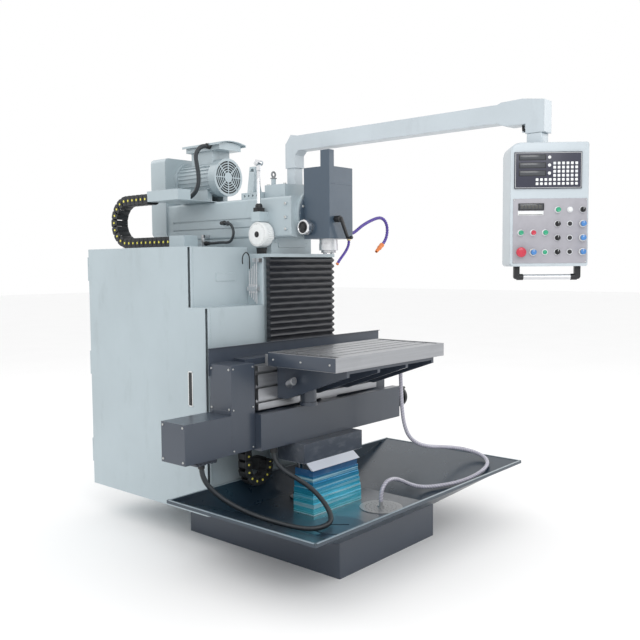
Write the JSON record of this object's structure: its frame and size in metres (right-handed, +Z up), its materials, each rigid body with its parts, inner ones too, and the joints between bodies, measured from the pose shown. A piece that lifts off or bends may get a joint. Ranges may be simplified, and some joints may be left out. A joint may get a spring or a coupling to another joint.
{
  "type": "vertical milling machine",
  "caption": "Bed-and-knee vertical milling machine with a sliding ram, swivel head, T-slot table, chip tray, cabinet and hanging control pendant.",
  "frame": {"origin": "on the floor under the spindle axis", "axes": "+Z up, -Y towards the operator, +X to the operator's right"},
  "size_m": [2.028, 3.0703, 2.401],
  "materials": {
    "pale_paint": "pale grey-blue machine enamel",
    "slate_paint": "dark slate machine enamel",
    "tray_paint": "dark textured enamel",
    "ground_steel": "ground steel",
    "cast_table": "machined cast iron",
    "cast_raw": "cast iron",
    "film_blue": "sheet steel under protective film",
    "bellows": "folded coated fabric",
    "chain_plastic": "moulded plastic links",
    "hose_clear": "clear braided hose",
    "hose_indigo": "jointed plastic hose segments",
    "conduit": "corrugated plastic conduit",
    "chrome": "chrome plate",
    "aluminium": "satin aluminium",
    "black_plastic": "black moulded plastic",
    "grey_plastic": "grey plastic",
    "red_plastic": "red plastic",
    "green_plastic": "green plastic",
    "blue_plastic": "blue plastic",
    "belt": "ribbed drive belt"
  },
  "bodies": {
    "base": {"base_plinth": "slate_paint", "chip_tray": "tray_paint", "tray_covers": "cast_raw", "column": "pale_paint", "cabinet_body": "pale_paint", "electrical_panel": "grey_plastic", "z_screw": "ground_steel", "oil_distributor": "aluminium", "way_bellows": "bellows", "y_chain": "chain_plastic", "z_chain": "chain_plastic", "drain_hose": "hose_clear", "knee_conduit": "conduit", "cover_plate_1": "film_blue"},
    "door": {"cabinet_door": "pale_paint"},
    "door_latch": {"door_handle": "black_plastic"},
    "knee": {"knee_casting": "slate_paint", "beam_cover": "slate_paint", "side_guard": "slate_paint", "motor_cover": "slate_paint", "cover_apron": "film_blue", "x_drive": "ground_steel"},
    "cover_2": {"cover_plate_2": "film_blue"},
    "cover_3": {"cover_plate_3": "film_blue"},
    "cover_4": {"cover_plate_4": "film_blue"},
    "handwheel": {"x_handwheel": "black_plastic"},
    "table": {"vertical_table": "cast_table", "angle_bracket": "slate_paint", "horizontal_table": "cast_table"},
    "ram": {"ram": "pale_paint", "ram_brackets": "pale_paint", "motor_body": "pale_paint", "motor_conduits": "conduit", "belt_cover": "pale_paint", "drive_belt": "belt"},
    "motor_rotor": {"motor_rotor": "ground_steel"},
    "drive_shaft": {"drive_shaft": "ground_steel"},
    "speed_dial": {"speed_dial": "aluminium"},
    "gear_lever": {"gear_lever": "chrome"},
    "head": {"head_housing": "slate_paint", "coolant_nozzle": "hose_indigo"},
    "quill": {"quill": "ground_steel"},
    "spindle": {"spindle": "ground_steel"},
    "quill_lever": {"quill_lever": "ground_steel"},
    "feed_dial": {"feed_dial": "chrome"},
    "arm": {"pendant_arm": "pale_paint"},
    "pendant": {"pendant_case": "pale_paint"},
    "start_button": {"start_button": "green_plastic"},
    "jog_button_1": {"jog_button_1": "green_plastic"},
    "jog_button_2": {"jog_button_2": "red_plastic"},
    "jog_button_3": {"jog_button_3": "green_plastic"},
    "emergency_stop": {"emergency_stop": "red_plastic"},
    "mode_selector": {"mode_selector": "black_plastic"},
    "axis_selector_1": {"axis_selector_1": "black_plastic"},
    "axis_selector_2": {"axis_selector_2": "black_plastic"},
    "axis_selector_3": {"axis_selector_3": "black_plastic"},
    "feed_knob_1": {"feed_knob_1": "blue_plastic"},
    "feed_knob_2": {"feed_knob_2": "blue_plastic"},
    "feed_knob_3": {"feed_knob_3": "blue_plastic"},
    "spindle_knob": {"spindle_knob": "blue_plastic"}
  },
  "joints": [
    {"name": "knee_lift", "type": "slide", "parent": "base", "child": "knee", "axis": [0, 0, 1], "range_m": [-0.14, 0.21], "deforming": ["way_bellows", "drain_hose", "z_chain", "knee_conduit"]},
    {"name": "cover_2_slide", "type": "slide", "parent": "base", "child": "cover_2", "axis": [0, 0, 1], "range_m": [-0.036, 0.0535]},
    {"name": "cover_3_slide", "type": "slide", "parent": "base", "child": "cover_3", "axis": [0, 0, 1], "range_m": [-0.071, 0.106]},
    {"name": "cover_4_slide", "type": "slide", "parent": "base", "child": "cover_4", "axis": [0, 0, 1], "range_m": [-0.106, 0.1585]},
    {"name": "table_traverse", "type": "slide", "parent": "knee", "child": "table", "axis": [1, 0, 0], "range_m": [-0.19, 0.44], "deforming": ["drain_hose"]},
    {"name": "x_handwheel_turn", "type": "hinge", "parent": "knee", "child": "handwheel", "pos_m": [0.742, 0.03, 0.7], "axis": [1, 0, 0], "continuous": true},
    {"name": "ram_slide", "type": "slide", "parent": "base", "child": "ram", "axis": [0, -1, 0], "range_m": [-0.03, 0.42], "deforming": ["y_chain"]},
    {"name": "head_swivel", "type": "hinge", "parent": "ram", "child": "head", "pos_m": [0, 0.111, 1.895], "axis": [0, 1, 0], "range_deg": [-45, 45]},
    {"name": "quill_feed", "type": "slide", "parent": "head", "child": "quill", "axis": [0, 0, 1], "range_m": [-0.08, 0]},
    {"name": "quill_lever_turn", "type": "hinge", "parent": "head", "child": "quill_lever", "pos_m": [-0.053, -0.12, 1.857], "axis": [0, 1, 0], "range_deg": [-205, 5]},
    {"name": "spindle_spin", "type": "hinge", "parent": "quill", "child": "spindle", "pos_m": [0, 0, 1.7], "axis": [0, 0, 1], "continuous": true},
    {"name": "drive_shaft_spin", "type": "hinge", "parent": "ram", "child": "drive_shaft", "pos_m": [0, 1.34, 1.895], "axis": [0, 1, 0], "continuous": true},
    {"name": "motor_spin", "type": "hinge", "parent": "ram", "child": "motor_rotor", "pos_m": [0, 1.34, 2.175], "axis": [0, 1, 0], "continuous": true},
    {"name": "feed_dial_turn", "type": "hinge", "parent": "head", "child": "feed_dial", "pos_m": [-0.16, 0.06, 1.812], "axis": [1, 0, 0], "continuous": true},
    {"name": "speed_dial_turn", "type": "hinge", "parent": "ram", "child": "speed_dial", "pos_m": [-0.25, 0.331, 1.776], "axis": [1, 0, 0], "continuous": true},
    {"name": "gear_lever_turn", "type": "hinge", "parent": "ram", "child": "gear_lever", "pos_m": [-0.23, 0.352, 1.925], "axis": [0, 0, 1], "range_deg": [-60, 60]},
    {"name": "arm_swing", "type": "hinge", "parent": "ram", "child": "arm", "pos_m": [0, 0.268, 2.1], "axis": [0, 0, 1], "range_deg": [-20, 90]},
    {"name": "pendant_swivel", "type": "hinge", "parent": "arm", "child": "pendant", "pos_m": [0, -1.325, 2.2], "axis": [0, 0, 1], "range_deg": [-60, 60]},
    {"name": "door_swing", "type": "hinge", "parent": "base", "child": "door", "pos_m": [-0.737, 1.392, 0.9], "axis": [0, 0, -1], "range_deg": [0, 110]},
    {"name": "door_handle_pull", "type": "hinge", "parent": "door", "child": "door_latch", "pos_m": [-0.742, 0.396, 0.984], "axis": [0, 1, 0], "range_deg": [0, 35]},
    {"name": "start_button_press", "type": "slide", "parent": "pendant", "child": "start_button", "axis": [0.788, 0.6157, 0], "range_m": [0, 0.004], "stiffness_N_per_m": 600},
    {"name": "jog_button_1_press", "type": "slide", "parent": "pendant", "child": "jog_button_1", "axis": [0.788, 0.6157, 0], "range_m": [0, 0.004], "stiffness_N_per_m": 600},
    {"name": "jog_button_2_press", "type": "slide", "parent": "pendant", "child": "jog_button_2", "axis": [0.788, 0.6157, 0], "range_m": [0, 0.004], "stiffness_N_per_m": 600},
    {"name": "jog_button_3_press", "type": "slide", "parent": "pendant", "child": "jog_button_3", "axis": [0.788, 0.6157, 0], "range_m": [0, 0.004], "stiffness_N_per_m": 600},
    {"name": "emergency_stop_press", "type": "slide", "parent": "pendant", "child": "emergency_stop", "axis": [0.788, 0.6157, 0], "range_m": [0, 0.004], "stiffness_N_per_m": 1500},
    {"name": "mode_selector_turn", "type": "hinge", "parent": "pendant", "child": "mode_selector", "pos_m": [0.03704, -1.53971, 1.843], "axis": [-0.788, -0.6157, 0], "range_deg": [-45, 45]},
    {"name": "axis_selector_1_turn", "type": "hinge", "parent": "pendant", "child": "axis_selector_1", "pos_m": [-0.03438, -1.4483, 1.777], "axis": [-0.788, -0.6157, 0], "range_deg": [-45, 45]},
    {"name": "axis_selector_2_turn", "type": "hinge", "parent": "pendant", "child": "axis_selector_2", "pos_m": [-0.03438, -1.4483, 1.711], "axis": [-0.788, -0.6157, 0], "range_deg": [-45, 45]},
    {"name": "axis_selector_3_turn", "type": "hinge", "parent": "pendant", "child": "axis_selector_3", "pos_m": [-0.03438, -1.4483, 1.645], "axis": [-0.788, -0.6157, 0], "range_deg": [-45, 45]},
    {"name": "feed_knob_1_turn", "type": "hinge", "parent": "pendant", "child": "feed_knob_1", "pos_m": [0.03704, -1.53971, 1.777], "axis": [-0.788, -0.6157, 0], "range_deg": [-150, 150]},
    {"name": "feed_knob_2_turn", "type": "hinge", "parent": "pendant", "child": "feed_knob_2", "pos_m": [0.03704, -1.53971, 1.711], "axis": [-0.788, -0.6157, 0], "range_deg": [-150, 150]},
    {"name": "feed_knob_3_turn", "type": "hinge", "parent": "pendant", "child": "feed_knob_3", "pos_m": [0.03704, -1.53971, 1.645], "axis": [-0.788, -0.6157, 0], "range_deg": [-150, 150]},
    {"name": "spindle_knob_turn", "type": "hinge", "parent": "pendant", "child": "spindle_knob", "pos_m": [-0.10456, -1.35847, 1.644], "axis": [-0.788, -0.6157, 0], "range_deg": [-150, 150]}
  ],
  "couplings": [
    {"joint": "cover_2_slide", "follows": "knee_lift", "ratio": 0.25},
    {"joint": "cover_3_slide", "follows": "knee_lift", "ratio": 0.5},
    {"joint": "cover_4_slide", "follows": "knee_lift", "ratio": 0.75},
    {"joint": "quill_lever_turn", "follows": "quill_feed", "rad_per_m": 43.6},
    {"joint": "drive_shaft_spin", "follows": "spindle_spin", "ratio": 1},
    {"joint": "motor_spin", "follows": "spindle_spin", "ratio": 1.3846}
  ]
}
